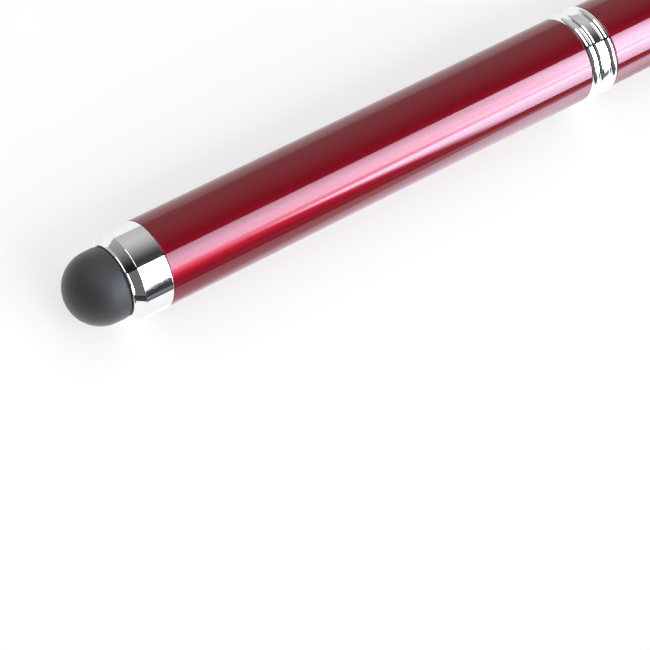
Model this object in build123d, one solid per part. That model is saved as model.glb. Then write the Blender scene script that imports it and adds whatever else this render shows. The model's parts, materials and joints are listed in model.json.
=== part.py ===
from build123d import *
import math
import os

# A capped ballpoint pen with a rubber touch tip on the far end of its barrel.
# It lies along X: the touch tip points to -X and the cap's finial to +X.
# The origin is on the pen's axis, halfway along the lacquered barrel tube.
# Sizes are in millimetres. A station is a place along X, a radius a distance from the axis.

# Lacquered tubes
barrel_radius = 4.8
barrel_length = 55.1
tube_wall = 0.45
tube_edge = 0.08

# Clearances
fit_gap = 0.02
thread_gap = 0.05
slip_gap = 0.2
grip_gap = 0.04
refill_gap = 0.06
ball_gap = 0.015
mouth_gap = 0.05
spring_gap = 0.03
touch_gap = 0.15

# Touch tip
ferrule_band = 3.33
ferrule_cone = 0.87
ferrule_lip = 0.22
ferrule_edge = 0.06
ferrule_rim = 0.12
lip_width = 0.2
lip_edge = 0.1
ferrule_wall = 1.3
ferrule_spigot = 5.0
dome_radius = 3.83
dome_reach = 5.18
dome_flare = 0.12
dome_base_edge = 0.4
dome_wall = 1.0
neck_radius = 2.7
neck_wall = 0.8
bead_height = 0.6
bead_width = 1.0
post_reach = 0.6
post_head = 2.5

# Centre ring, from one end to the other: bead, band, bead
ring_bead = 0.92
ring_band = 1.48
ring_band_flank = 0.2
ring_band_edge = 0.35
ring_groove = 0.1
ring_proud = 0.22
ring_band_proud = 0.18
ring_sink = 0.08

# Threaded bush in the barrel's open end
bush_depth = 8.0
bush_wall = 0.9
bush_nose_wall = 0.55

# Writing section
thread_length = 6.5
thread_pitch = 0.75
thread_depth = 0.22
flange_width = 1.0
collar_length = 9.0
grip_length = 20.0
grip_groove_count = 4
grip_groove_width = 0.7
grip_groove_pitch = 2.2
grip_groove_depth = 0.15
grip_taper = 0.45
seal_cord = 0.7
seal_inset = 4.0
seal_play = 0.1
guide_wall = 0.7
guide_length = 6.0

# Nose and refill
nose_length = 9.0
nose_spigot = 5.0
nose_rim = 0.45
nose_edge = 0.25
nose_hole_length = 4.0
tip_out = 2.6
refill_length = 67.0
refill_radius = 1.175
refill_wall = 0.3
tip_shank = 3.0
tip_collar = 1.6
tip_neck_radius = 0.8
tip_cone = 1.8
tip_rim_wall = 0.08
ink_channel = 0.2
ball_radius = 0.5
ball_show = 0.33
grease_length = 3.0
air_length = 14.8

# Spring behind the refill
spring_length = 9.0
spring_turns = 6
wire_radius = 0.2
seat_length = 3.5
pilot_length = 3.0
pilot_gap = 0.12

# Cap
liner_wall = 0.55
liner_gap = 0.4
tip_room = 1.2
tip_pocket = 0.8
liner_end_wall = 1.0
plug_room = 7.0
plug_length = 8.0
stud_radius = 1.4
stud_socket = 2.5
finial_length = 4.2
finial_rounding = 2.6

# Pocket clip
clip_thickness = 0.85
clip_width = 3.4
clip_tip_width = 2.6
clip_tip_flat = 0.4
clip_length = 38.0
clip_rise = 2.0
clip_edge = 0.25
clip_bend = 1.2
clip_dip = 3.6
clip_dip_run = 4.6
clip_tip_rise = 0.75
clip_root_gap = 0.12

# Places along the pen
barrel_start = -barrel_length / 2
barrel_end = barrel_length / 2
ferrule_front = barrel_start - ferrule_band - ferrule_cone - ferrule_lip
ring_width = 2 * ring_bead + ring_band + 2 * ring_groove
ring_end = barrel_end + ring_width
collar_end = ring_end + flange_width + collar_length
section_front = collar_end + grip_length
nose_front = section_front + nose_length
ball_tip = nose_front + tip_out
refill_shoulder = nose_front - nose_hole_length
tube_front = refill_shoulder - tip_collar
refill_rear = ball_tip - refill_length
ink_front = tube_front - tip_shank
grease_rear = refill_rear + air_length
ink_rear = grease_rear + grease_length
seat_front = refill_rear - spring_length
cap_mouth = ring_end + mouth_gap
liner_start = ring_end + flange_width + liner_gap
liner_inner_end = ball_tip + tip_room
liner_end = liner_inner_end + liner_end_wall
plug_start = liner_end + plug_room
cap_end = plug_start + plug_length
finial_start = cap_end + clip_thickness

# Radii that follow from the tubes, from the outside in
tube_bore = barrel_radius - tube_wall
insert_radius = tube_bore - fit_gap
bush_bore = insert_radius - bush_wall
bush_nose_radius = bush_bore + bush_nose_wall
ring_bore = bush_nose_radius + fit_gap
ring_radius = barrel_radius + ring_proud
thread_radius = bush_bore - thread_gap
flange_radius = tube_bore - slip_gap
liner_bore = insert_radius - liner_wall
collar_radius = liner_bore - slip_gap
grip_front_radius = collar_radius - grip_taper

# Radii that follow from the refill and the dome, from the inside out
refill_guide_bore = refill_radius + refill_gap
guide_radius = refill_guide_bore + guide_wall
section_bore = guide_radius + fit_gap
nose_hole = tip_neck_radius + refill_gap
nose_tip_radius = nose_hole + nose_rim
tube_inside = refill_radius - refill_wall
coil_radius = refill_radius - refill_wall / 2
skirt_radius = dome_radius + dome_flare
lip_radius = skirt_radius + lip_width
bead_radius = neck_radius + bead_height


def turned(*corners):
    """Turn a closed outline about the pen's axis.

    Each corner is (station, radius), or (station, radius, rounding).
    """
    points = [corner[:2] for corner in corners]
    roundings = [corner[2] if len(corner) == 3 else 0 for corner in corners]
    outline = FilletPolyline(*points, radius=roundings, close=True)
    return revolve(make_face(outline), Axis.X)


def tube(start, end, bore, radius, edge=0):
    """A plain tube, with its two outer edges rounded."""
    return turned((start, bore), (start, radius, edge), (end, radius, edge), (end, bore))


def rod(start, end, radius):
    """A plain round bar on the pen's axis."""
    return turned((start, 0), (start, radius), (end, radius), (end, 0))


def stylus_ferrule():
    """Plated ferrule: a band, a cone and a thin lip outside, a spigot in the barrel."""
    wall_back = ferrule_front + ferrule_wall
    spigot_end = barrel_start + ferrule_spigot
    bead_bore = bead_radius + fit_gap
    return turned(
        (ferrule_front, neck_radius + fit_gap),
        (ferrule_front, lip_radius, lip_edge),
        (ferrule_front + ferrule_lip, lip_radius),
        (barrel_start - ferrule_band, barrel_radius, ferrule_edge),
        (barrel_start, barrel_radius, ferrule_rim),
        (barrel_start, insert_radius),
        (spigot_end, insert_radius),
        (spigot_end, bead_bore),
        (wall_back, bead_bore),
        (wall_back, neck_radius + fit_gap),
    )


def stylus_dome():
    """Hollow rubber dome, with a neck and a bead that hold it in the ferrule."""
    apex = ferrule_front - dome_reach
    equator = apex + dome_radius
    wall_back = ferrule_front + ferrule_wall
    bead_back = wall_back + bead_width
    inner_radius = dome_radius - dome_wall
    neck_bore = neck_radius - neck_wall
    slant = math.sqrt(0.5)
    outside = ThreePointArc(
        (apex, 0),
        (equator - dome_radius * slant, dome_radius * slant),
        (equator, dome_radius),
    )
    skirt_and_neck = FilletPolyline(
        (equator, dome_radius),
        (ferrule_front, skirt_radius),
        (ferrule_front, neck_radius),
        (wall_back, neck_radius),
        (wall_back, bead_radius),
        (bead_back, bead_radius),
        (bead_back, neck_bore),
        (ferrule_front, neck_bore),
        (equator, inner_radius),
        radius=[dome_base_edge, 0, 0, 0, 0, 0, 0],
    )
    inside = ThreePointArc(
        (equator, inner_radius),
        (equator - inner_radius * slant, inner_radius * slant),
        (equator - inner_radius, 0),
    )
    closing = Line((equator - inner_radius, 0), (apex, 0))
    return revolve(make_face([outside, skirt_and_neck, inside, closing]), Axis.X)


def stylus_post():
    """Plug behind the dome: its pin fills the neck and its head traps the bead."""
    bead_back = ferrule_front + ferrule_wall + bead_width
    pin_radius = neck_radius - neck_wall - fit_gap
    return turned(
        (ferrule_front - post_reach, 0),
        (ferrule_front - post_reach, pin_radius),
        (bead_back, pin_radius),
        (bead_back, bead_radius),
        (bead_back + post_head, bead_radius),
        (bead_back + post_head, 0),
    )


def barrel_bush():
    """Brass bush in the barrel's open end: the ring sits on its nose, the section screws in."""
    return turned(
        (barrel_end - bush_depth, bush_bore),
        (barrel_end - bush_depth, insert_radius),
        (barrel_end, insert_radius),
        (barrel_end, bush_nose_radius),
        (ring_end, bush_nose_radius),
        (ring_end, bush_bore),
    )


def centre_ring():
    """Plated ring between barrel and cap: a band with slanted flanks between two round beads."""
    base = barrel_radius - ring_sink
    band_radius = barrel_radius + ring_band_proud
    first_end = barrel_end + ring_bead
    second_start = ring_end - ring_bead
    band_start = first_end + ring_groove
    band_end = second_start - ring_groove
    beads = [
        ThreePointArc((start, base), (start + ring_bead / 2, ring_radius), (start + ring_bead, base))
        for start in (barrel_end, second_start)
    ]
    band = FilletPolyline(
        (first_end, base),
        (band_start, base),
        (band_start + ring_band_flank, band_radius),
        (band_end - ring_band_flank, band_radius),
        (band_end, base),
        (second_start, base),
        radius=[0, ring_band_edge, ring_band_edge, 0],
    )
    inside = Polyline(
        (ring_end, base), (ring_end, ring_bore), (barrel_end, ring_bore), (barrel_end, base)
    )
    return revolve(make_face([*beads, band, inside]), Axis.X)


def coil_point(turn):
    """Centre of the spring's wire after a number of turns."""
    start = seat_front + spring_gap + wire_radius
    end = refill_rear - spring_gap - wire_radius
    angle = math.tau * turn
    station = start + (end - start) * turn / spring_turns
    return Vector(station, coil_radius * math.cos(angle), coil_radius * math.sin(angle))


def coil_direction(turn):
    """Direction of the spring's wire after a number of turns."""
    step = 1e-5
    return (coil_point(turn + step) - coil_point(turn - step)).normalized()


def biarc(start, start_direction, end, end_direction):
    """Two arcs that leave one point and reach another in the given directions."""
    chord = end - start
    both = start_direction + end_direction
    a = both.dot(both) - 4
    b = -2 * chord.dot(both)
    c = chord.dot(chord)
    reach = (-b - math.sqrt(b * b - 4 * a * c)) / (2 * a)
    middle = (start + start_direction * reach + end - end_direction * reach) / 2
    first = TangentArc(start, middle, tangent=start_direction)
    return [first, TangentArc(middle, end, tangent=first % 1)]


def refill_spring():
    """Wire coil between the seat and the refill, as biarcs of a quarter turn."""
    quarters = [quarter / 4 for quarter in range(4 * spring_turns + 1)]
    arcs = []
    for before, after in zip(quarters, quarters[1:]):
        arcs += biarc(
            coil_point(before), coil_direction(before), coil_point(after), coil_direction(after)
        )
    path = Wire([arc.edge() for arc in arcs])
    section = Plane(origin=path @ 0, z_dir=path % 0) * Circle(wire_radius)
    return sweep(section, path=path)


def least_coil_gap():
    """Least gap between one turn of the spring and the next, on points along the wire."""
    steps = 24
    points = [coil_point(step / steps) for step in range(steps * spring_turns + 1)]
    nearest = min(
        (points[one] - points[other]).length
        for one in range(len(points))
        for other in range(one + steps // 2, len(points))
    )
    return nearest - 2 * wire_radius


def spring_seat():
    """Plug in the barrel that the spring stands on, with a pilot inside the coil."""
    pilot_radius = coil_radius - wire_radius - pilot_gap
    return turned(
        (seat_front - seat_length, 0),
        (seat_front - seat_length, insert_radius),
        (seat_front, insert_radius),
        (seat_front, pilot_radius),
        (seat_front + pilot_length, pilot_radius),
        (seat_front + pilot_length, 0),
    )


def grip_section():
    """Writing section: threaded spigot, flange, collar with the ring's groove, tapered grip."""
    thread_start = barrel_end - thread_length
    corners = [(thread_start, section_bore), (thread_start, thread_radius - thread_depth)]
    ridge_count = round(thread_length / thread_pitch)
    pitch = thread_length / ridge_count
    for ridge in range(ridge_count):
        start = thread_start + ridge * pitch
        corners.append((start + pitch / 2, thread_radius))
        corners.append((start + pitch, thread_radius - thread_depth))
    corners += [
        (barrel_end, thread_radius),
        (ring_end, thread_radius),
        (ring_end, flange_radius, tube_edge),
        (ring_end + flange_width, flange_radius, tube_edge),
        (ring_end + flange_width, collar_radius),
    ]
    groove_start = ring_end + seal_inset
    groove_end = groove_start + seal_cord + 2 * seal_play
    groove_radius = liner_bore - grip_gap - seal_cord - fit_gap
    corners += [
        (groove_start, collar_radius),
        (groove_start, groove_radius),
        (groove_end, groove_radius),
        (groove_end, collar_radius),
        (collar_end, collar_radius),
    ]
    slope = grip_taper / grip_length
    for groove in range(grip_groove_count):
        start = section_front - (grip_groove_count - groove) * grip_groove_pitch
        for station, depth in [
            (start, 0),
            (start, grip_groove_depth),
            (start + grip_groove_width, grip_groove_depth),
            (start + grip_groove_width, 0),
        ]:
            corners.append((station, collar_radius - slope * (station - collar_end) - depth))
    corners += [(section_front, grip_front_radius), (section_front, section_bore)]
    return turned(*corners)


def grip_ring():
    """Rubber ring in the section's groove, which holds the cap on."""
    station = ring_end + seal_inset + seal_play + seal_cord / 2
    radius = liner_bore - grip_gap - seal_cord / 2
    return revolve(Pos(station, radius) * Circle(seal_cord / 2), Axis.X)


def nose_cone():
    """Plated nose: a spigot in the section and a cone with the hole for the refill's tip."""
    spigot_start = section_front - nose_spigot
    return turned(
        (spigot_start, refill_guide_bore),
        (spigot_start, guide_radius),
        (section_front, guide_radius),
        (section_front, grip_front_radius),
        (nose_front, nose_tip_radius, nose_edge),
        (nose_front, nose_hole),
        (refill_shoulder, nose_hole),
        (refill_shoulder, refill_guide_bore),
    )


def refill_tip():
    """Metal writing point: shank in the tube, collar, neck and cone with the ball's pocket."""
    pocket = ball_radius + ball_gap
    ball_centre = ball_tip - ball_radius
    rim = ball_tip - ball_show
    rim_radius = math.sqrt(pocket**2 - (rim - ball_centre) ** 2)
    pocket_back = ball_centre - math.sqrt(pocket**2 - ink_channel**2)
    shank_start = tube_front - tip_shank
    outside = Polyline(
        (pocket_back, ink_channel),
        (shank_start, ink_channel),
        (shank_start, tube_inside - fit_gap),
        (tube_front, tube_inside - fit_gap),
        (tube_front, refill_radius),
        (refill_shoulder, refill_radius),
        (refill_shoulder, tip_neck_radius),
        (rim - tip_cone, tip_neck_radius),
        (rim, rim_radius + tip_rim_wall),
        (rim, rim_radius),
    )
    cup = ThreePointArc((rim, rim_radius), (ball_centre, pocket), (pocket_back, ink_channel))
    return revolve(make_face([outside, cup]), Axis.X)


def cap_liner():
    """Plastic inner cap: a sleeve over the section, closed round the writing point."""
    pocket_radius = nose_tip_radius + tip_pocket
    return turned(
        (liner_start, liner_bore),
        (liner_start, insert_radius),
        (liner_end, insert_radius),
        (liner_end, 0),
        (liner_inner_end, 0),
        (liner_inner_end, pocket_radius),
        (section_front + liner_gap, liner_bore),
    )


def finial():
    """Plated end button with a blind socket for its stud."""
    finial_end = finial_start + finial_length
    socket_end = finial_start + stud_socket
    return turned(
        (finial_start, stud_radius + fit_gap),
        (finial_start, barrel_radius, tube_edge),
        (finial_end, barrel_radius, finial_rounding),
        (finial_end, 0),
        (socket_end, 0),
        (socket_end, stud_radius + fit_gap),
    )


def clip_turn():
    """Turn about X that lets the clip's corner touch the plane that the ring stands on."""
    reach = barrel_radius + clip_rise
    half_width = clip_width / 2
    below_level = math.asin(ring_radius / math.hypot(reach, half_width))
    return 90 + math.degrees(below_level - math.atan2(half_width, reach))


def clip_arm():
    """Sprung strip: up from the clip's ring, along the cap, down to it and up at the tip."""
    root = barrel_radius + clip_root_gap
    top = barrel_radius + clip_rise
    under = top - clip_thickness
    touch = barrel_radius + touch_gap
    tip = cap_end - clip_length
    dip = tip + clip_dip
    shoulder = dip + clip_dip_run
    inner_bend = clip_bend - clip_thickness
    outline = FilletPolyline(
        (finial_start, root),
        (finial_start, top),
        (shoulder, top),
        (dip, touch + clip_thickness),
        (tip, touch + clip_thickness + clip_tip_rise),
        (tip, touch + clip_tip_rise),
        (dip, touch),
        (shoulder, under),
        (cap_end, under),
        (cap_end, root),
        radius=[0, clip_bend, clip_bend, clip_bend, 0, 0, clip_bend, clip_bend, inner_bend, 0],
        close=True,
    )
    half_tip = clip_tip_width / 2
    half_root = clip_width / 2
    tip_rounding = half_tip - clip_tip_flat / 2
    plan = FilletPolyline(
        (tip, -half_tip),
        (tip, half_tip),
        (finial_start, half_root),
        (finial_start, -half_root),
        radius=[tip_rounding, tip_rounding, 0, 0],
        close=True,
    )
    side_view = extrude(Plane.XZ * make_face(outline), clip_width, both=True)
    strip = side_view & extrude(make_face(plan), top)
    upper_edges = strip.faces().filter_by(Plane.XY).sort_by(Axis.Z)[-1].edges().filter_by(
        lambda edge: abs(edge.tangent_at(0.5).X) > abs(edge.tangent_at(0.5).Y)
    )
    strip = fillet(upper_edges, clip_edge)
    return Rot(clip_turn(), 0, 0) * strip


pieces = {
    "stylus_dome": stylus_dome(),
    "stylus_post": stylus_post(),
    "stylus_ferrule": stylus_ferrule(),
    "barrel": tube(barrel_start, barrel_end, tube_bore, barrel_radius, tube_edge),
    "barrel_bush": barrel_bush(),
    "centre_ring": centre_ring(),
    "spring_seat": spring_seat(),
    "refill_spring": refill_spring(),
    "grip_section": grip_section(),
    "grip_ring": grip_ring(),
    "refill_guide": tube(
        barrel_end - thread_length,
        barrel_end - thread_length + guide_length,
        refill_guide_bore,
        guide_radius,
    ),
    "nose_cone": nose_cone(),
    "refill_tube": tube(refill_rear, tube_front, tube_inside, refill_radius),
    "ink_column": rod(ink_rear, ink_front, tube_inside - fit_gap),
    "grease_plug": rod(grease_rear, ink_rear, tube_inside - fit_gap),
    "refill_tip": refill_tip(),
    "writing_ball": Pos(ball_tip - ball_radius, 0, 0) * Sphere(ball_radius),
    "cap_tube": tube(cap_mouth, cap_end, tube_bore, barrel_radius, tube_edge),
    "cap_liner": cap_liner(),
    "cap_plug": tube(plug_start, cap_end, stud_radius + fit_gap, insert_radius),
    "clip_ring": tube(cap_end, finial_start, stud_radius + fit_gap, barrel_radius, tube_edge),
    "clip_arm": clip_arm(),
    "finial": finial(),
    "finial_stud": rod(plug_start, finial_start + stud_socket, stud_radius),
}

os.makedirs("parts", exist_ok=True)
for name, shape in pieces.items():
    export_step(shape, f"parts/{name}.step")

print(f"least gap between the spring's turns: {least_coil_gap():.2f} mm")
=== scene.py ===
import json
import math

import bmesh
import bpy
from mathutils import Matrix, Vector

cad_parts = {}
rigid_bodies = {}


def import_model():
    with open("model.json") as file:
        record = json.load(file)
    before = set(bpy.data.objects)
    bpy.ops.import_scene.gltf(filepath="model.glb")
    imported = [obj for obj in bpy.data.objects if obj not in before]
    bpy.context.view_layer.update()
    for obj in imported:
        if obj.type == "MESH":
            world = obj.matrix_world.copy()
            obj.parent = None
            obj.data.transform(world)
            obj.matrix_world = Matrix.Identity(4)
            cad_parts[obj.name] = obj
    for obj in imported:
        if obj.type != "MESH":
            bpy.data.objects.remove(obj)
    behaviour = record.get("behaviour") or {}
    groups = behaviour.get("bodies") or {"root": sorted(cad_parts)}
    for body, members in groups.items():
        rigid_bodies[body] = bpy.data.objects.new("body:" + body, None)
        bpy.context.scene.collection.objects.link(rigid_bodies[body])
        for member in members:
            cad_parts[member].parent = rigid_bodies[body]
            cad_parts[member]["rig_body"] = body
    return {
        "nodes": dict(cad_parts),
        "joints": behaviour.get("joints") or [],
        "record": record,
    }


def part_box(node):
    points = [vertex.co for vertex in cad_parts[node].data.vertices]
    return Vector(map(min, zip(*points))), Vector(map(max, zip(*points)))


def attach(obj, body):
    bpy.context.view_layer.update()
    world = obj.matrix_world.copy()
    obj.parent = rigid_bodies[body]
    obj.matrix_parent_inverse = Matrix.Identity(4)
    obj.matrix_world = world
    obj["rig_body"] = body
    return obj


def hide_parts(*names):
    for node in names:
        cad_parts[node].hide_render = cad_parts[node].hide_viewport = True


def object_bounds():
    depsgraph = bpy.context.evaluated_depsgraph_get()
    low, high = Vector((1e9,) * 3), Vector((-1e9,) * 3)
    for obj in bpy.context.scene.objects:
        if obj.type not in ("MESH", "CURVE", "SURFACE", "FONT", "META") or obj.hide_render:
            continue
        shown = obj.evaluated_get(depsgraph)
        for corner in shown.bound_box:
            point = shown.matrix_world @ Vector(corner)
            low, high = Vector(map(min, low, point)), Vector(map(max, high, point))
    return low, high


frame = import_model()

cad_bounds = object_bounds()

# A capped ballpoint pen with a rubber touch tip on the far end of its barrel.
# Outlines are in millimetres as (station along X, radius about X, rounding of the corner).
# Finished meshes are scaled to metres.
MM = 0.001
SLOT_OF = {part["node"]: part["material_slot"] for part in frame["record"]["subparts"]}

# How finely round shapes are divided
TURN_STEPS = 192
INNER_TURN_STEPS = 96
WIND_STEPS = 48
WIRE_STEPS = 14
CORD_STEPS = 24
CORNER_STEPS = 5
DOME_STEPS = 28

# Roundings wider than this, in millimetres, are divided as finely as the dome
WIDE_ROUNDING = 0.5

# Points closer than this, in millimetres, become one
MERGE_GAP = 1e-4

# Edges that turn by more than this stay sharp
CREASE = math.radians(32)


def span(node):
    """First station, last station and greatest radius of a turned node, in millimetres."""
    low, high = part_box(node)
    return low.x / MM, high.x / MM, max(high.y, high.z) / MM


# Places along the pen
barrel_start, barrel_end, barrel_radius = span("barrel")
ferrule_front, ferrule_back, _ = span("stylus_ferrule")
dome_apex, dome_back, _ = span("stylus_dome")
ring_start, ring_end, ring_radius = span("centre_ring")
cap_mouth, cap_end, cap_radius = span("cap_tube")
finial_start, finial_end, finial_radius = span("finial")
section_start, section_front, flange_radius = span("grip_section")
seal_start, seal_end, seal_radius = span("grip_ring")
guide_start, guide_end, guide_radius = span("refill_guide")
nose_start, nose_front, nose_radius = span("nose_cone")
refill_rear, tube_front, refill_radius = span("refill_tube")
point_start, point_rim, _ = span("refill_tip")
ball_start, ball_end, ball_radius = span("writing_ball")
spring_start, spring_end, spring_radius = span("refill_spring")
bush_start, bush_end, insert_radius = span("barrel_bush")
liner_start, liner_end, liner_radius = span("cap_liner")
floor_height = cad_bounds[0].z / MM


# Making pieces

def link(name, mesh):
    """An object at the origin that holds the mesh."""
    piece = bpy.data.objects.new(name, mesh)
    bpy.context.scene.collection.objects.link(piece)
    return piece


def finished(name, bm, node):
    """Close the shape, scale it to metres and let it stand for its node."""
    bmesh.ops.remove_doubles(bm, verts=bm.verts, dist=MERGE_GAP)
    bmesh.ops.dissolve_degenerate(bm, edges=bm.edges, dist=MERGE_GAP)
    bmesh.ops.recalc_face_normals(bm, faces=bm.faces)
    bmesh.ops.scale(bm, vec=(MM, MM, MM), verts=bm.verts)
    for face in bm.faces:
        face.smooth = True
    mesh = bpy.data.meshes.new(name)
    bm.to_mesh(mesh)
    bm.free()
    mesh.set_sharp_from_angle(angle=CREASE)
    mesh.materials.append(finishes[SLOT_OF[node]])
    piece = link(name, mesh)
    shading = piece.modifiers.new("Even shading", "WEIGHTED_NORMAL")
    shading.keep_sharp = True
    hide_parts(node)
    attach(piece, frame["nodes"][node]["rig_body"])


def round_corner(bm, corner, rounding, steps):
    """Round one corner of an outline."""
    one, other = [edge.other_vert(corner).co - corner.co for edge in corner.link_edges]
    reach = rounding / math.tan(one.angle(other) / 2)
    bmesh.ops.bevel(
        bm,
        geom=[corner],
        offset=reach,
        offset_type="OFFSET",
        affect="VERTICES",
        segments=steps,
        profile=0.5,
        material=-1,
    )


def draw_outline(bm, corners, closed=True):
    """Draw an outline in the plane above the pen's axis, and round its corners.

    Each corner is (station, radius), or (station, radius, rounding).
    """
    verts = [bm.verts.new((corner[0], 0, corner[1])) for corner in corners]
    for one, other in zip(verts, verts[1:]):
        bm.edges.new((one, other))
    if closed and corners[0][1] > 0:
        bm.edges.new((verts[-1], verts[0]))
    for vert, corner in zip(verts, corners):
        if len(corner) > 2:
            steps = DOME_STEPS if corner[2] > WIDE_ROUNDING else CORNER_STEPS
            round_corner(bm, vert, corner[2], steps)


def turned(*corners, steps=TURN_STEPS):
    """Turn an outline about the pen's axis. An outline that starts on the axis also ends on it."""
    bm = bmesh.new()
    draw_outline(bm, corners)
    turn_about_pen(bm, steps)
    return bm


def turn_about_pen(bm, steps):
    """Turn all that is drawn once about the pen's axis."""
    bmesh.ops.spin(
        bm,
        geom=bm.verts[:] + bm.edges[:],
        cent=(0, 0, 0),
        axis=(1, 0, 0),
        dvec=(0, 0, 0),
        angle=math.tau,
        steps=steps,
        use_merge=True,
    )


def wound(bm, loop, *stretches):
    """Wind a closed loop about the pen's axis, and close both ends.

    Each stretch is (turns, advance along the pen for one turn).
    """
    bmesh.ops.contextual_create(bm, geom=loop)
    for turns, advance in stretches:
        steps = round(turns * WIND_STEPS)
        swept = bmesh.ops.spin(
            bm,
            geom=loop,
            cent=(0, 0, 0),
            axis=(1, 0, 0),
            dvec=(advance / WIND_STEPS, 0, 0),
            angle=math.tau * turns,
            steps=steps,
        )
        loop = [part for part in swept["geom_last"] if isinstance(part, bmesh.types.BMEdge)]
    bmesh.ops.contextual_create(bm, geom=loop)


def tube(start, end, bore, radius, edge, steps=TURN_STEPS):
    """A plain tube with rounded edges."""
    return turned(
        (start, bore, edge),
        (start, radius, edge),
        (end, radius, edge),
        (end, bore, edge),
        steps=steps,
    )


# Finishes

def finish(name):
    """A new material, with its shader and a reader of places on the pen."""
    material = bpy.data.materials.new(name)
    material.use_nodes = True
    nodes = material.node_tree.nodes
    shader = nodes["Principled BSDF"]
    place = nodes.new("ShaderNodeTexCoord").outputs["Object"]
    return material, shader, place


def joined(material, source, target):
    """Join two sockets of a material."""
    material.node_tree.links.new(source, target)


def stretched(material, place, scale):
    """Places scaled differently along, across and up the pen."""
    mapping = material.node_tree.nodes.new("ShaderNodeMapping")
    mapping.inputs["Scale"].default_value = scale
    joined(material, place, mapping.inputs["Vector"])
    return mapping.outputs["Vector"]


def cloud(material, place, grain, detail=2.0):
    """Soft random values whose spots are about a grain wide, in millimetres."""
    noise = material.node_tree.nodes.new("ShaderNodeTexNoise")
    noise.inputs["Scale"].default_value = 1 / (grain * MM)
    noise.inputs["Detail"].default_value = detail
    joined(material, place, noise.inputs["Vector"])
    return noise.outputs["Fac"]


def flakes(material, place, size):
    """One random value for each flake of the given size, in millimetres."""
    cells = material.node_tree.nodes.new("ShaderNodeTexVoronoi")
    cells.inputs["Scale"].default_value = 1 / (size * MM)
    joined(material, place, cells.inputs["Vector"])
    return cells.outputs["Color"]


def ramp(material, value, *stops):
    """Colours by value; each stop is (value, colour)."""
    node = material.node_tree.nodes.new("ShaderNodeValToRGB")
    elements = node.color_ramp.elements
    elements.remove(elements[-1])
    elements[0].position = stops[0][0]
    elements[0].color = (*stops[0][1], 1)
    for position, colour in stops[1:]:
        elements.new(position).color = (*colour, 1)
    joined(material, value, node.inputs["Fac"])
    return node.outputs["Color"]


def between(material, value, low, high, value_low=0.3, value_high=0.7):
    """A number that goes from low to high as the value goes over its range."""
    node = material.node_tree.nodes.new("ShaderNodeMapRange")
    node.inputs["From Min"].default_value = value_low
    node.inputs["From Max"].default_value = value_high
    node.inputs["To Min"].default_value = low
    node.inputs["To Max"].default_value = high
    joined(material, value, node.inputs["Value"])
    return node.outputs["Result"]


def bumped(material, value, depth, strength=1.0):
    """Normals of a surface with bumps of the given depth, in millimetres."""
    node = material.node_tree.nodes.new("ShaderNodeBump")
    node.inputs["Distance"].default_value = depth * MM
    node.inputs["Strength"].default_value = strength
    joined(material, value, node.inputs["Height"])
    return node.outputs["Normal"]


def red_lacquer():
    """Deep candy red over fine metal flakes, under a hard gloss coat."""
    material, shader, place = finish("candy_red_lacquer")
    flake = flakes(material, place, size=0.07)
    depth = cloud(material, place, grain=1.6)
    colour = ramp(
        material,
        flake,
        (0.0, (0.15, 0.0025, 0.008)),
        (0.6, (0.18, 0.0035, 0.011)),
        (1.0, (0.23, 0.005, 0.016)),
    )
    joined(material, colour, shader.inputs["Base Color"])
    joined(material, between(material, depth, low=0.3, high=0.34), shader.inputs["Roughness"])
    shader.inputs["Metallic"].default_value = 0.22
    shader.inputs["Specular IOR Level"].default_value = 0.0
    shader.inputs["Coat Weight"].default_value = 1.0
    shader.inputs["Coat Roughness"].default_value = 0.02
    shader.inputs["Coat IOR"].default_value = 1.5
    waves = cloud(material, place, grain=2.4, detail=0.0)
    peel = bumped(material, waves, depth=0.004, strength=0.25)
    joined(material, peel, shader.inputs["Coat Normal"])
    return material


def plated_metal():
    """Bright plating, polished on a lathe: hardly any marks, all of them round the pen."""
    material, shader, place = finish("bright_plating")
    lines = cloud(material, stretched(material, place, scale=(40, 1, 1)), grain=2.2, detail=3.0)
    tone = cloud(material, place, grain=3.5)
    colour = ramp(
        material,
        tone,
        (0.3, (0.86, 0.86, 0.865)),
        (0.7, (0.91, 0.91, 0.91)),
    )
    joined(material, colour, shader.inputs["Base Color"])
    joined(material, between(material, lines, low=0.03, high=0.075), shader.inputs["Roughness"])
    shader.inputs["Metallic"].default_value = 1.0
    joined(material, bumped(material, lines, depth=0.0006, strength=0.35), shader.inputs["Normal"])
    return material


def touch_rubber():
    """Soft conductive rubber with a fine matt grain."""
    material, shader, place = finish("matt_touch_rubber")
    grain = cloud(material, place, grain=0.09, detail=3.0)
    wear = cloud(material, place, grain=2.2)
    colour = ramp(
        material,
        wear,
        (0.3, (0.016, 0.016, 0.018)),
        (0.7, (0.022, 0.022, 0.024)),
    )
    joined(material, colour, shader.inputs["Base Color"])
    joined(material, between(material, grain, low=0.55, high=0.65), shader.inputs["Roughness"])
    shader.inputs["Specular IOR Level"].default_value = 0.3
    shader.inputs["Sheen Weight"].default_value = 0.4
    shader.inputs["Sheen Roughness"].default_value = 0.5
    joined(material, bumped(material, grain, depth=0.006, strength=0.5), shader.inputs["Normal"])
    return material


def seal_rubber():
    """Black moulded sealing rubber, slightly greasy."""
    material, shader, place = finish("black_seal_rubber")
    grain = cloud(material, place, grain=0.12, detail=3.0)
    colour = ramp(
        material,
        grain,
        (0.3, (0.012, 0.012, 0.012)),
        (0.7, (0.022, 0.022, 0.022)),
    )
    joined(material, colour, shader.inputs["Base Color"])
    joined(material, between(material, grain, low=0.34, high=0.5), shader.inputs["Roughness"])
    joined(material, bumped(material, grain, depth=0.005, strength=0.4), shader.inputs["Normal"])
    return material


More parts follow.
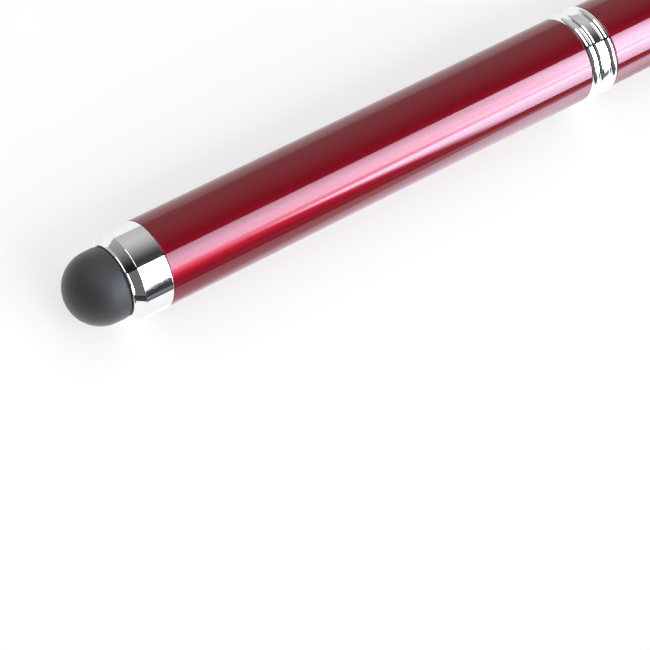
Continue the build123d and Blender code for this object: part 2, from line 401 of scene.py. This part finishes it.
def turned_brass():
    """Bare brass with the fine rings that a lathe leaves."""
    material, shader, place = finish("turned_brass")
    lines = cloud(material, stretched(material, place, scale=(30, 1, 1)), grain=1.8, detail=3.0)
    tarnish = cloud(material, place, grain=1.5, detail=3.0)
    colour = ramp(
        material,
        tarnish,
        (0.3, (0.55, 0.37, 0.13)),
        (0.7, (0.74, 0.54, 0.23)),
    )
    joined(material, colour, shader.inputs["Base Color"])
    joined(material, between(material, lines, low=0.2, high=0.36), shader.inputs["Roughness"])
    shader.inputs["Metallic"].default_value = 1.0
    joined(material, bumped(material, lines, depth=0.004, strength=0.5), shader.inputs["Normal"])
    return material


def ground_steel():
    """Ground stainless steel of the writing point, its ball and the spring wire."""
    material, shader, place = finish("ground_steel")
    lines = cloud(material, stretched(material, place, scale=(25, 1, 1)), grain=1.2, detail=3.0)
    colour = ramp(
        material,
        lines,
        (0.3, (0.5, 0.5, 0.52)),
        (0.7, (0.66, 0.66, 0.68)),
    )
    joined(material, colour, shader.inputs["Base Color"])
    joined(material, between(material, lines, low=0.16, high=0.3), shader.inputs["Roughness"])
    shader.inputs["Metallic"].default_value = 1.0
    joined(material, bumped(material, lines, depth=0.002, strength=0.4), shader.inputs["Normal"])
    return material


def black_plastic():
    """Black moulded plastic of the writing section, satin from handling."""
    material, shader, place = finish("satin_black_plastic")
    grain = cloud(material, place, grain=0.16, detail=3.0)
    handling = cloud(material, place, grain=4.0, detail=2.0)
    colour = ramp(
        material,
        handling,
        (0.3, (0.014, 0.014, 0.016)),
        (0.7, (0.022, 0.022, 0.024)),
    )
    joined(material, colour, shader.inputs["Base Color"])
    joined(material, between(material, handling, low=0.28, high=0.4), shader.inputs["Roughness"])
    joined(material, bumped(material, grain, depth=0.004, strength=0.35), shader.inputs["Normal"])
    return material


def white_plastic():
    """Milky moulded plastic of the cap's liner and the refill's guide."""
    material, shader, place = finish("milky_white_plastic")
    flow = cloud(material, stretched(material, place, scale=(0.4, 1, 1)), grain=3.0, detail=2.0)
    colour = ramp(
        material,
        flow,
        (0.3, (0.72, 0.72, 0.69)),
        (0.7, (0.8, 0.8, 0.78)),
    )
    joined(material, colour, shader.inputs["Base Color"])
    joined(material, between(material, flow, low=0.25, high=0.38), shader.inputs["Roughness"])
    shader.inputs["Subsurface Weight"].default_value = 0.15
    shader.inputs["Subsurface Radius"].default_value = (0.6 * MM, 0.6 * MM, 0.5 * MM)
    return material


def wet_fill(name, deep, light):
    """Ink or grease inside the refill: a smooth wet surface with slight streaks."""
    material, shader, place = finish(name)
    streaks = cloud(material, stretched(material, place, scale=(0.3, 1, 1)), grain=0.8, detail=2.0)
    colour = ramp(material, streaks, (0.3, deep), (0.7, light))
    joined(material, colour, shader.inputs["Base Color"])
    joined(material, between(material, streaks, low=0.05, high=0.14), shader.inputs["Roughness"])
    return material


finishes = {
    "red_lacquer": red_lacquer(),
    "plated_metal": plated_metal(),
    "touch_rubber": touch_rubber(),
    "seal_rubber": seal_rubber(),
    "brass": turned_brass(),
    "steel": ground_steel(),
    "black_plastic": black_plastic(),
    "white_plastic": white_plastic(),
    "ink": wet_fill("blue_black_ink", (0.004, 0.008, 0.05), (0.008, 0.016, 0.09)),
    "grease": wet_fill("amber_grease", (0.5, 0.42, 0.2), (0.66, 0.58, 0.32)),
}

# Every node takes its slot's finish, which shows on those that keep their own shape
for node, shape in frame["nodes"].items():
    shape.data.materials.clear()
    shape.data.materials.append(finishes[SLOT_OF[node]])


# Lacquered tubes
tube_wall = 0.45
tube_edge = 0.08
tube_bore = barrel_radius - tube_wall

finished("barrel_tube", tube(barrel_start, barrel_end, tube_bore, barrel_radius, tube_edge), "barrel")
finished("cap_tube_shell", tube(cap_mouth, cap_end, tube_bore, cap_radius, tube_edge), "cap_tube")


# Touch tip
ferrule_band = 3.33
ferrule_lip = 0.22
ferrule_edge = 0.06
ferrule_rim = 0.12
lip_width = 0.2
lip_edge = 0.1
ferrule_wall = 1.3
dome_radius = 3.83
dome_base_edge = 0.4
dome_wall = 1.0
neck_radius = 2.7
neck_wall = 0.8
bead_height = 0.6
fit_gap = 0.02
dome_flare_radius = 3.95
lip_radius = dome_flare_radius + lip_width


def ferrule():
    """Plated ferrule: a band, a cone and a thin lip round the dome, with its spigot."""
    wall_back = ferrule_front + ferrule_wall
    bead_bore = neck_radius + bead_height + fit_gap
    neck_bore = neck_radius + fit_gap
    return turned(
        (ferrule_front, neck_bore),
        (ferrule_front, lip_radius, lip_edge),
        (ferrule_front + ferrule_lip, lip_radius),
        (barrel_start - ferrule_band, barrel_radius, ferrule_edge),
        (barrel_start, barrel_radius, ferrule_rim),
        (barrel_start, insert_radius),
        (ferrule_back, insert_radius, tube_edge),
        (ferrule_back, bead_bore),
        (wall_back, bead_bore),
        (wall_back, neck_bore),
    )


def dome():
    """Hollow rubber dome with the neck and the bead that hold it."""
    equator = dome_apex + dome_radius
    inner_radius = dome_radius - dome_wall
    inner_apex = equator - inner_radius
    wall_back = ferrule_front + ferrule_wall
    neck_bore = neck_radius - neck_wall
    bead_radius = neck_radius + bead_height
    return turned(
        (dome_apex, 0),
        (dome_apex, dome_radius, dome_radius),
        (ferrule_front, dome_flare_radius, dome_base_edge),
        (ferrule_front, neck_radius),
        (wall_back, neck_radius),
        (wall_back, bead_radius),
        (dome_back, bead_radius),
        (dome_back, neck_bore),
        (ferrule_front, neck_bore),
        (inner_apex, inner_radius, inner_radius),
        (inner_apex, 0),
    )


finished("ferrule_shell", ferrule(), "stylus_ferrule")
finished("touch_dome", dome(), "stylus_dome")


# Centre ring, from one end to the other: bead, band, bead
ring_bead = 0.92
ring_band = 1.48
ring_band_flank = 0.2
ring_band_edge = 0.35
ring_band_proud = 0.18
ring_groove = 0.1
ring_bore = 4.0
ring_base = barrel_radius - tube_edge


def ring_bead_corners(start):
    """Corners of a bead on the ring, which is rounded from side to side."""
    half = ring_bead / 2
    arc_share = math.sqrt(2) - 1
    peak = (ring_radius - ring_base) / arc_share
    rounding = math.hypot(half, peak) * half / peak
    return [
        (start, ring_base),
        (start + half, ring_base + peak, rounding),
        (start + ring_bead, ring_base),
    ]


def centre_ring():
    """Plated ring between barrel and cap: a band with slanted flanks between two round beads."""
    band_radius = barrel_radius + ring_band_proud
    band_start = ring_start + ring_bead + ring_groove
    band_end = band_start + ring_band
    return turned(
        (ring_start, ring_bore),
        *ring_bead_corners(ring_start),
        (band_start, ring_base),
        (band_start + ring_band_flank, band_radius, ring_band_edge),
        (band_end - ring_band_flank, band_radius, ring_band_edge),
        (band_end, ring_base),
        *ring_bead_corners(band_end + ring_groove),
        (ring_end, ring_bore),
    )


finished("centre_ring_band", centre_ring(), "centre_ring")


# Bush in the barrel's open end
bush_wall = 0.9
bush_nose_wall = 0.55
bush_chamfer = 0.25
bush_bore = insert_radius - bush_wall
bush_nose_radius = bush_bore + bush_nose_wall


def bush():
    """Brass bush: a sleeve in the barrel and a thinner nose that carries the ring."""
    return turned(
        (bush_start, bush_bore, bush_chamfer),
        (bush_start, insert_radius, tube_edge),
        (barrel_end, insert_radius),
        (barrel_end, bush_nose_radius),
        (bush_end, bush_nose_radius, tube_edge),
        (bush_end, bush_bore, bush_chamfer),
        steps=INNER_TURN_STEPS,
    )


finished("brass_bush", bush(), "barrel_bush")


# Writing section
thread_gap = 0.05
thread_depth = 0.22
thread_turns = 8
thread_margin = 0.45
thread_crest = 0.1
thread_root = 0.56
thread_sink = 0.06
flange_width = 1.0
collar_length = 9.0
slip_gap = 0.2
liner_wall = 0.55
seal_play = 0.1
grip_groove_count = 4
grip_groove_width = 0.7
grip_groove_pitch = 2.2
grip_groove_depth = 0.15
grip_groove_edge = 0.06
section_edge = 0.15
seal_cord = seal_end - seal_start
liner_bore = liner_radius - liner_wall
collar_radius = liner_bore - slip_gap
collar_end = ring_end + flange_width + collar_length
section_bore = guide_radius + fit_gap
thread_radius = bush_bore - thread_gap
core_radius = thread_radius - thread_depth


def grip_radius(station):
    """Radius of the tapered grip at a station."""
    share = (station - collar_end) / (section_front - collar_end)
    return collar_radius + (nose_radius - collar_radius) * share


def grip_grooves():
    """Corners of the finger grooves near the front of the grip."""
    corners = []
    for groove in range(grip_groove_count):
        start = section_front - (grip_groove_count - groove) * grip_groove_pitch
        end = start + grip_groove_width
        corners += [
            (start, grip_radius(start), grip_groove_edge),
            (start, grip_radius(start) - grip_groove_depth, grip_groove_edge),
            (end, grip_radius(end) - grip_groove_depth, grip_groove_edge),
            (end, grip_radius(end), grip_groove_edge),
        ]
    return corners


def writing_section():
    """Black section: threaded spigot, flange, collar with the seal's groove and tapered grip."""
    flange_end = ring_end + flange_width
    groove_start = seal_start - seal_play
    groove_end = seal_end + seal_play
    groove_radius = seal_radius - seal_cord - fit_gap
    return turned(
        (section_start, section_bore),
        (section_start, core_radius, section_edge),
        (barrel_end, core_radius),
        (barrel_end, thread_radius, tube_edge),
        (ring_end, thread_radius),
        (ring_end, flange_radius, tube_edge),
        (flange_end, flange_radius, tube_edge),
        (flange_end, collar_radius),
        (groove_start, collar_radius, grip_groove_edge),
        (groove_start, groove_radius),
        (groove_end, groove_radius),
        (groove_end, collar_radius, grip_groove_edge),
        (collar_end, collar_radius, section_edge),
        *grip_grooves(),
        (section_front, nose_radius, tube_edge),
        (section_front, section_bore),
    )


def section_thread():
    """Screw thread wound on the spigot, sunk a little into its core."""
    bm = bmesh.new()
    start = section_start + thread_margin
    advance = (barrel_end - thread_margin - start) / thread_turns
    corners = [
        (start - thread_root / 2, core_radius - thread_sink),
        (start - thread_crest / 2, thread_radius),
        (start + thread_crest / 2, thread_radius),
        (start + thread_root / 2, core_radius - thread_sink),
    ]
    verts = [bm.verts.new((station, 0, radius)) for station, radius in corners]
    loop = [bm.edges.new(pair) for pair in zip(verts, verts[1:] + verts[:1])]
    wound(bm, loop, (thread_turns, advance))
    return bm


def round_cord(station, radius, thickness, steps):
    """A closed round section of a cord or wire, as a loop of edges above the pen's axis."""
    bm = bmesh.new()
    place = Matrix.Translation((station, 0, radius)) @ Matrix.Rotation(math.pi / 2, 4, "X")
    bmesh.ops.create_circle(bm, segments=steps, radius=thickness / 2, matrix=place)
    return bm


def seal_ring():
    """Rubber ring of round section, in the collar's groove."""
    bm = round_cord((seal_start + seal_end) / 2, seal_radius - seal_cord / 2, seal_cord, CORD_STEPS)
    turn_about_pen(bm, INNER_TURN_STEPS)
    return bm


finished("writing_section", writing_section(), "grip_section")
finished("section_thread", section_thread(), "grip_section")
finished("seal_ring", seal_ring(), "grip_ring")


# Nose and refill
nose_edge = 0.25
nose_rim = 0.45
nose_hole_length = 4.0
refill_gap = 0.06
refill_wall = 0.3
refill_edge = 0.06
tip_neck_radius = 0.8
tip_neck_rounding = 0.6
tip_cone = 1.8
tip_rim_wall = 0.08
tip_rim_edge = 0.03
ink_channel = 0.2
ball_gap = 0.015
guide_wall = 0.7
guide_bore = guide_radius - guide_wall
nose_hole = tip_neck_radius + refill_gap
refill_shoulder = nose_front - nose_hole_length
refill_inside = refill_radius - refill_wall


def nose():
    """Plated nose: a spigot in the section and a cone round the writing point."""
    return turned(
        (nose_start, guide_bore),
        (nose_start, guide_radius, tube_edge),
        (section_front, guide_radius),
        (section_front, nose_radius, tube_edge),
        (nose_front, nose_hole + nose_rim, nose_edge),
        (nose_front, nose_hole, tube_edge),
        (refill_shoulder, nose_hole),
        (refill_shoulder, guide_bore),
    )


def writing_point():
    """Steel point: shank in the refill's tube, collar, neck and cone with the ball's cup."""
    cup_radius = ball_radius + ball_gap
    centre = ball_end - ball_radius
    rim_radius = math.sqrt(cup_radius**2 - (point_rim - centre) ** 2)
    rim_angle = math.atan2(rim_radius, point_rim - centre)
    cup_angle = math.pi - math.asin(ink_channel / cup_radius)
    shank_radius = refill_inside - fit_gap
    bm = bmesh.new()
    draw_outline(bm, [
        (point_rim, rim_radius),
        (point_rim, rim_radius + tip_rim_wall, tip_rim_edge),
        (point_rim - tip_cone, tip_neck_radius, tip_neck_rounding),
        (refill_shoulder, tip_neck_radius),
        (refill_shoulder, refill_radius, refill_edge),
        (tube_front, refill_radius, refill_edge),
        (tube_front, shank_radius),
        (point_start, shank_radius, refill_edge),
        (point_start, ink_channel),
        (centre + cup_radius * math.cos(cup_angle), ink_channel),
    ], closed=False)
    rim = min(bm.verts, key=lambda vert: (abs(vert.co.x - point_rim), vert.co.z))
    bmesh.ops.spin(
        bm,
        geom=[rim],
        cent=(centre, 0, 0),
        axis=(0, -1, 0),
        dvec=(0, 0, 0),
        angle=cup_angle - rim_angle,
        steps=CORD_STEPS,
    )
    bmesh.ops.remove_doubles(bm, verts=bm.verts, dist=MERGE_GAP)
    turn_about_pen(bm, INNER_TURN_STEPS)
    return bm


def ball():
    """Steel writing ball."""
    return turned(
        (ball_start, 0),
        (ball_start, ball_radius, ball_radius),
        (ball_end, ball_radius, ball_radius),
        (ball_end, 0),
        steps=INNER_TURN_STEPS,
    )


finished("plated_nose", nose(), "nose_cone")
finished(
    "brass_refill",
    tube(refill_rear, tube_front, refill_inside, refill_radius, refill_edge, INNER_TURN_STEPS),
    "refill_tube",
)
finished("writing_point", writing_point(), "refill_tip")
finished("ball", ball(), "writing_ball")
finished(
    "refill_sleeve",
    tube(guide_start, guide_end, guide_bore, guide_radius, tube_edge, INNER_TURN_STEPS),
    "refill_guide",
)


# Spring behind the refill, with a closed turn at each end
wire = 0.4
open_turns = 6
closed_turns = 1


def coil_spring():
    """Wire wound in open turns between two closed ones."""
    bm = round_cord(spring_start + wire / 2, spring_radius - wire / 2, wire, WIRE_STEPS)
    run = spring_end - spring_start - wire - 2 * closed_turns * wire
    closed = (closed_turns, wire)
    wound(bm, bm.edges[:], closed, (open_turns, run / open_turns), closed)
    return bm


finished("coil_spring", coil_spring(), "refill_spring")


# Cap
tip_room = 1.0
pocket_radius = 2.11
liner_gap = 0.4
liner_rounding = 0.5
finial_rounding = 2.6
finial_socket = 2.5
stud_radius = 1.4
stud_bore = stud_radius + fit_gap


def liner():
    """White inner cap: a sleeve over the section, closed round the writing point."""
    inner_end = liner_end - tip_room
    return turned(
        (liner_start, liner_bore, tube_edge),
        (liner_start, liner_radius, tube_edge),
        (liner_end, liner_radius, liner_rounding),
        (liner_end, 0),
        (inner_end, 0),
        (inner_end, pocket_radius, liner_rounding),
        (section_front + liner_gap, liner_bore),
        steps=INNER_TURN_STEPS,
    )


def end_button():
    """Plated end button of the cap, with the blind hole for its stud."""
    socket_end = finial_start + finial_socket
    return turned(
        (finial_start, stud_bore),
        (finial_start, finial_radius, tube_edge),
        (finial_end, finial_radius, finial_rounding),
        (finial_end, 0),
        (socket_end, 0),
        (socket_end, stud_bore),
    )


finished("inner_cap", liner(), "cap_liner")
finished("end_button", end_button(), "finial")
finished("clip_washer", tube(cap_end, finial_start, stud_bore, cap_radius, tube_edge), "clip_ring")


# Pocket clip
clip_thickness = finial_start - cap_end
clip_width = 3.4
clip_tip_width = 2.6
clip_tip_flat = 0.4
clip_rise = 2.0
clip_edge = 0.22
clip_bend = 1.2
clip_dip = 3.6
clip_dip_run = 4.6
clip_tip_rise = 0.75
clip_root_gap = 0.12
touch_gap = 0.15
clip_edge_steps = 3
clip_tip_steps = 10
clip_edge_angle = math.radians(60)
clip_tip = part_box("clip_arm")[0].x / MM
clip_hinge = next(joint for joint in frame["joints"] if joint["name"] == "clip_flex")
clip_turn = math.atan2(clip_hinge["axis"][2], clip_hinge["axis"][1])


def clip_strip():
    """Sprung strip: up from the washer, along the cap, down to it and up again at the tip."""
    root = cap_radius + clip_root_gap
    top = cap_radius + clip_rise
    touch = cap_radius + touch_gap
    dip = clip_tip + clip_dip
    shoulder = dip + clip_dip_run
    bm = bmesh.new()
    draw_outline(bm, [
        (finial_start, root),
        (finial_start, top, clip_bend),
        (shoulder, top, clip_bend),
        (dip, touch + clip_thickness, clip_bend),
        (clip_tip, touch + clip_thickness + clip_tip_rise),
        (clip_tip, touch + clip_tip_rise),
        (dip, touch, clip_bend),
        (shoulder, top - clip_thickness, clip_bend),
        (cap_end, top - clip_thickness, clip_bend - clip_thickness),
        (cap_end, root),
    ])
    side = bmesh.ops.contextual_create(bm, geom=bm.edges[:])["faces"]
    far_side = bmesh.ops.extrude_face_region(bm, geom=side)["geom"]
    far_verts = [part for part in far_side if isinstance(part, bmesh.types.BMVert)]
    bmesh.ops.translate(bm, vec=(0, 1, 0), verts=far_verts)
    near_verts = [vert for vert in bm.verts if vert not in far_verts]
    bmesh.ops.translate(bm, vec=(0, -1, 0), verts=near_verts)
    for vert in bm.verts:
        share = (vert.co.x - clip_tip) / (finial_start - clip_tip)
        vert.co.y *= (clip_tip_width + (clip_width - clip_tip_width) * share) / 2
    bmesh.ops.recalc_face_normals(bm, faces=bm.faces)
    tip_corners = [
        edge for edge in bm.edges
        if all(abs(vert.co.x - clip_tip) < MERGE_GAP for vert in edge.verts)
        and edge.verts[0].co.y * edge.verts[1].co.y > 0
    ]
    bmesh.ops.bevel(
        bm,
        geom=tip_corners,
        offset=(clip_tip_width - clip_tip_flat) / 2,
        affect="EDGES",
        segments=clip_tip_steps,
        profile=0.5,
        material=-1,
    )
    sharp = [edge for edge in bm.edges if edge.calc_face_angle(0) > clip_edge_angle]
    bmesh.ops.bevel(
        bm,
        geom=sharp,
        offset=clip_edge,
        affect="EDGES",
        segments=clip_edge_steps,
        profile=0.5,
        material=-1,
    )
    bmesh.ops.rotate(bm, cent=(0, 0, 0), matrix=Matrix.Rotation(clip_turn, 3, "X"), verts=bm.verts)
    return bm


finished("clip_strip", clip_strip(), "clip_arm")


# Camera at the photograph's viewing angle, with lengths in millimetres
view_tilt = math.radians(26.48)
view_turn = math.radians(27.28)
view_roll = math.radians(79)
view_depth = 315.5
joint_right = -17.91
joint_up = 6.12
focal_length = 173.5
sensor_width = 36.0
nearest_seen = 10.0


def place_camera():
    """Camera whose picture shows the joint of ferrule and barrel where the photograph has it."""
    back = Vector((
        -math.sin(view_tilt),
        -math.cos(view_tilt) * math.cos(view_roll),
        math.cos(view_tilt) * math.sin(view_roll),
    ))
    along = Vector((1, 0, 0))
    along = (along - along.dot(back) * back).normalized()
    across = back.cross(along)
    right = math.cos(view_turn) * along - math.sin(view_turn) * across
    up = math.sin(view_turn) * along + math.cos(view_turn) * across
    joint = Vector((barrel_start, 0, 0))
    eye = joint - joint_right * right - joint_up * up + view_depth * back
    lens = bpy.data.cameras.new("photo_camera")
    lens.sensor_width = sensor_width
    lens.lens = focal_length
    lens.clip_start = nearest_seen * MM
    camera = bpy.data.objects.new("photo_camera", lens)
    bpy.context.scene.collection.objects.link(camera)
    facing = Matrix((right, up, back)).transposed().to_4x4()
    camera.matrix_world = Matrix.Translation(eye * MM) @ facing
    bpy.context.scene.camera = camera


place_camera()


# Floor and card in millimetres, and the share of glow in the paper's white
floor_size = 6000.0
card_start = 34.0
card_lift = 0.05
floor_glow = 0.6


def flat_sheet(name, material, low, high, height):
    """A level sheet between two corners, as part of the stage."""
    bm = bmesh.new()
    bmesh.ops.create_grid(bm, x_segments=1, y_segments=1, size=0.5)
    size = Vector(high) - Vector(low)
    bmesh.ops.scale(bm, vec=(size.x, size.y, 1), verts=bm.verts)
    middle = (Vector(low) + Vector(high)) / 2
    bmesh.ops.translate(bm, vec=(middle.x, middle.y, height), verts=bm.verts)
    bmesh.ops.scale(bm, vec=(MM, MM, MM), verts=bm.verts)
    mesh = bpy.data.meshes.new(name)
    bm.to_mesh(mesh)
    bm.free()
    mesh.materials.append(material)
    sheet = link(name, mesh)
    return sheet


def white_paper():
    """Matt white paper, mixed with a plain white glow for the camera and for reflections."""
    material, shader, place = finish("white_paper")
    fibres = cloud(material, place, grain=60.0, detail=3.0)
    colour = ramp(material, fibres, (0.3, (0.9, 0.9, 0.905)), (0.7, (0.92, 0.92, 0.92)))
    joined(material, colour, shader.inputs["Base Color"])
    shader.inputs["Roughness"].default_value = 0.9
    shader.inputs["Specular IOR Level"].default_value = 0.1
    nodes = material.node_tree.nodes
    ray = nodes.new("ShaderNodeLightPath")
    seen = ray.outputs["Is Camera Ray"]
    for kind in ("Is Glossy Ray", "Is Transmission Ray"):
        either = nodes.new("ShaderNodeMath")
        either.operation = "MAXIMUM"
        joined(material, seen, either.inputs[0])
        joined(material, ray.outputs[kind], either.inputs[1])
        seen = either.outputs["Value"]
    glow = nodes.new("ShaderNodeEmission")
    glow.inputs["Strength"].default_value = 1.0
    mix = nodes.new("ShaderNodeMixShader")
    share = between(material, seen, low=0.0, high=floor_glow, value_low=0.0, value_high=1.0)
    joined(material, share, mix.inputs["Fac"])
    joined(material, shader.outputs["BSDF"], mix.inputs[1])
    joined(material, glow.outputs["Emission"], mix.inputs[2])
    joined(material, mix.outputs["Shader"], nodes["Material Output"].inputs["Surface"])
    return material


def black_card():
    """Matt black card."""
    material, shader, place = finish("black_card")
    fibres = cloud(material, place, grain=20.0, detail=3.0)
    colour = ramp(material, fibres, (0.3, (0.012, 0.012, 0.012)), (0.7, (0.02, 0.02, 0.02)))
    joined(material, colour, shader.inputs["Base Color"])
    shader.inputs["Roughness"].default_value = 0.9
    shader.inputs["Specular IOR Level"].default_value = 0.1
    return material


def floor_and_card():
    """White paper under the pen, and a black card beside it that only reflections show."""
    half = floor_size / 2
    flat_sheet("pale_floor", white_paper(), (-half, -half), (half, half), floor_height)
    card_height = floor_height + card_lift
    card = flat_sheet("black_card", black_card(), (-half, -half), (half, -card_start), card_height)
    card.visible_camera = False
    card.visible_diffuse = False
    card.visible_transmission = False
    card.visible_shadow = False


# Studio light: distance and colours of the lamps, and the strip on the floor, in millimetres
lamp_distance = 1600.0
soft_white = (0.75, 0.86, 1.1)
plain_white = (1.0, 1.0, 1.0)
reflector_middle = (60.0, -20.3)
reflector_size = (200.0, 16.0)
reflector_slant = math.radians(14.2)
reflector_radiance = 3.3

# Brightness of the room by degrees round the pen, from above towards +Y
room_levels = (
    (-180, 0.04),
    (2, 0.05),
    (10, 0.1),
    (20, 0.22),
    (32, 0.38),
    (44, 0.51),
    (56, 0.59),
    (75, 0.55),
)

# The room is darker beyond the touch tip, by the share of a direction that points along X
tip_end_level = 0.3
tip_end_darkest = -0.75
tip_end_limit = -0.2


def graded(light, along, across):
    """Let a lamp's brightness change along the pen and across the lamp, from its lower edge up.

    Each list holds (share of the way, level).
    """
    light.use_nodes = True
    nodes = light.node_tree.nodes
    place = nodes.new("ShaderNodeSeparateXYZ")
    joined(light, nodes.new("ShaderNodeNewGeometry").outputs["Parametric"], place.inputs["Vector"])
    level = nodes.new("ShaderNodeMath")
    level.operation = "MULTIPLY"
    for way, shares, factor in (("X", along, level.inputs[0]), ("Y", across, level.inputs[1])):
        stops = [(share, (value, value, value)) for share, value in shares]
        joined(light, ramp(light, place.outputs[way], *stops), factor)
    joined(light, level.outputs["Value"], nodes["Emission"].inputs["Strength"])


def lamp(name, place, along, outward, size, radiance, colour, reflected):
    """A flat lamp at a place in metres, with its length along one way and its back outward.

    A reflected lamp shows in glossy surfaces only, and the others light the pen and the floor.
    """
    light = bpy.data.lights.new(name, "AREA")
    light.shape = "RECTANGLE"
    light.size, light.size_y = size
    light.energy = math.pi * light.size * light.size_y * radiance
    light.color = colour
    holder = bpy.data.objects.new(name, light)
    bpy.context.scene.collection.objects.link(holder)
    facing = Matrix((along, outward.cross(along), outward)).transposed().to_4x4()
    holder.matrix_world = Matrix.Translation(place) @ facing
    holder.visible_diffuse = not reflected
    holder.visible_glossy = reflected
    holder.visible_camera = False
    return light


def panel(name, along_angles, round_angles, radiance, colour, reflected, slant=0.0):
    """A lamp beside the pen that fills a range of angles along it and round it.

    Angles along the pen count from square to it towards +X, and round it from above towards -Y.
    A slant turns the lamp in its own plane.
    """
    reach = lamp_distance * MM
    start, end = [reach * math.tan(math.radians(angle)) for angle in along_angles]
    spread = math.radians(round_angles[1] - round_angles[0])
    turn = math.radians(sum(round_angles) / 2)
    outward = Vector((0, -math.sin(turn), math.cos(turn)))
    across = outward.cross(Vector((1, 0, 0)))
    lean = math.radians(slant)
    along = math.cos(lean) * Vector((1, 0, 0)) + math.sin(lean) * across
    place = outward * reach + Vector(((start + end) / 2, 0, 0))
    size = (end - start, 2 * reach * math.tan(spread / 2))
    return lamp(name, place, along, outward, size, radiance, colour, reflected)


def low_reflector():
    """A strip of light on the floor at the near side of the pen, that only reflections show."""
    strip = lamp(
        "low_reflector",
        place=Vector((*reflector_middle, floor_height + card_lift)) * MM,
        along=Vector((math.cos(reflector_slant), -math.sin(reflector_slant), 0)),
        outward=Vector((0, 0, -1)),
        size=[length * MM for length in reflector_size],
        radiance=reflector_radiance,
        colour=soft_white,
        reflected=True,
    )
    graded(
        strip,
        along=[(0.0, 0.1), (0.115, 0.15), (0.235, 0.32), (0.38, 1.0)],
        across=[(0.0, 0.0), (0.1, 0.1), (0.22, 0.33), (0.33, 0.58), (0.47, 0.88), (0.6, 1.0)],
    )


def studio_world():
    """A dark room with a pale wall on the side away from the softboxes."""
    world = bpy.data.worlds.new("studio")
    world.use_nodes = True
    nodes = world.node_tree.nodes
    outward = nodes.new("ShaderNodeSeparateXYZ")
    joined(world, nodes.new("ShaderNodeTexCoord").outputs["Generated"], outward.inputs["Vector"])
    around = nodes.new("ShaderNodeMath")
    around.operation = "ARCTAN2"
    joined(world, outward.outputs["Y"], around.inputs[0])
    joined(world, outward.outputs["Z"], around.inputs[1])
    turn = between(
        world,
        around.outputs["Value"],
        low=0,
        high=1,
        value_low=-math.pi,
        value_high=math.pi,
    )
    stops = [((angle + 180) / 360, (level, level, level)) for angle, level in room_levels]
    joined(world, ramp(world, turn, *stops), nodes["Background"].inputs["Color"])
    dimmed = between(
        world,
        outward.outputs["X"],
        low=tip_end_level,
        high=1.0,
        value_low=tip_end_darkest,
        value_high=tip_end_limit,
    )
    joined(world, dimmed, nodes["Background"].inputs["Strength"])
    bpy.context.scene.world = world


floor_and_card()
studio_world()

# Softboxes that only reflections show
upper_softbox = panel(
    "upper_softbox",
    along_angles=(17, 62),
    round_angles=(12.6, 70),
    radiance=19.0,
    colour=soft_white,
    reflected=True,
)
graded(
    upper_softbox,
    along=[(0.0, 0.35), (0.1, 0.57), (0.16, 0.68), (0.21, 0.75), (0.235, 1.0)],
    across=[
        (0.0, 0.0), (0.08, 0.05), (0.155, 0.15), (0.225, 0.27), (0.295, 0.5), (0.36, 0.94),
        (0.62, 1.0), (0.715, 0.85), (1.0, 0.48),
    ],
)
lower_softbox = panel(
    "lower_softbox",
    along_angles=(27.5, 42),
    round_angles=(50, 98),
    radiance=17.8,
    colour=soft_white,
    reflected=True,
    slant=15,
)
graded(
    lower_softbox,
    along=[(0.0, 0.0), (0.05, 0.03), (0.112, 0.5), (0.165, 0.95), (0.25, 1.0)],
    across=[
        (0.0, 0.0), (0.069, 0.22), (0.134, 0.5), (0.261, 0.53), (0.498, 0.76), (0.738, 1.0),
        (0.8, 0.4), (0.86, 0.06), (1.0, 0.0),
    ],
)
joining_softbox = panel(
    "joining_softbox",
    along_angles=(28.6, 46),
    round_angles=(45, 64),
    radiance=6.0,
    colour=soft_white,
    reflected=True,
)
graded(
    joining_softbox,
    along=[(0.0, 0.0), (0.06, 0.3), (0.12, 0.75), (0.18, 1.0)],
    across=[(0.0, 0.0), (0.2, 0.5), (0.4, 1.0), (0.65, 0.95), (0.85, 0.35), (1.0, 0.0)],
)
flank_softbox = panel(
    "flank_softbox",
    along_angles=(10, 22.6),
    round_angles=(50, 76),
    radiance=46.0,
    colour=plain_white,
    reflected=True,
)
graded(
    flank_softbox,
    along=[(0.0, 0.0), (0.3, 1.0), (0.94, 1.0), (1.0, 0.0)],
    across=[(0.0, 0.05), (0.3, 0.5), (0.6, 1.0), (1.0, 1.0)],
)
panel(
    "ceiling_light",
    along_angles=(-28, 11),
    round_angles=(-42, 8),
    radiance=4.0,
    colour=plain_white,
    reflected=True,
)
panel(
    "side_fill",
    along_angles=(-60, 12),
    round_angles=(14, 88),
    radiance=0.14,
    colour=plain_white,
    reflected=True,
)
low_reflector()

# Panels that light the pen and the floor
panel(
    "key_panel",
    along_angles=(-10, 50),
    round_angles=(30, 85),
    radiance=3.0,
    colour=plain_white,
    reflected=False,
)
panel(
    "overhead_panel",
    along_angles=(-45, 45),
    round_angles=(-45, 45),
    radiance=1.03,
    colour=plain_white,
    reflected=False,
)

bpy.context.scene.view_settings.view_transform = "Standard"
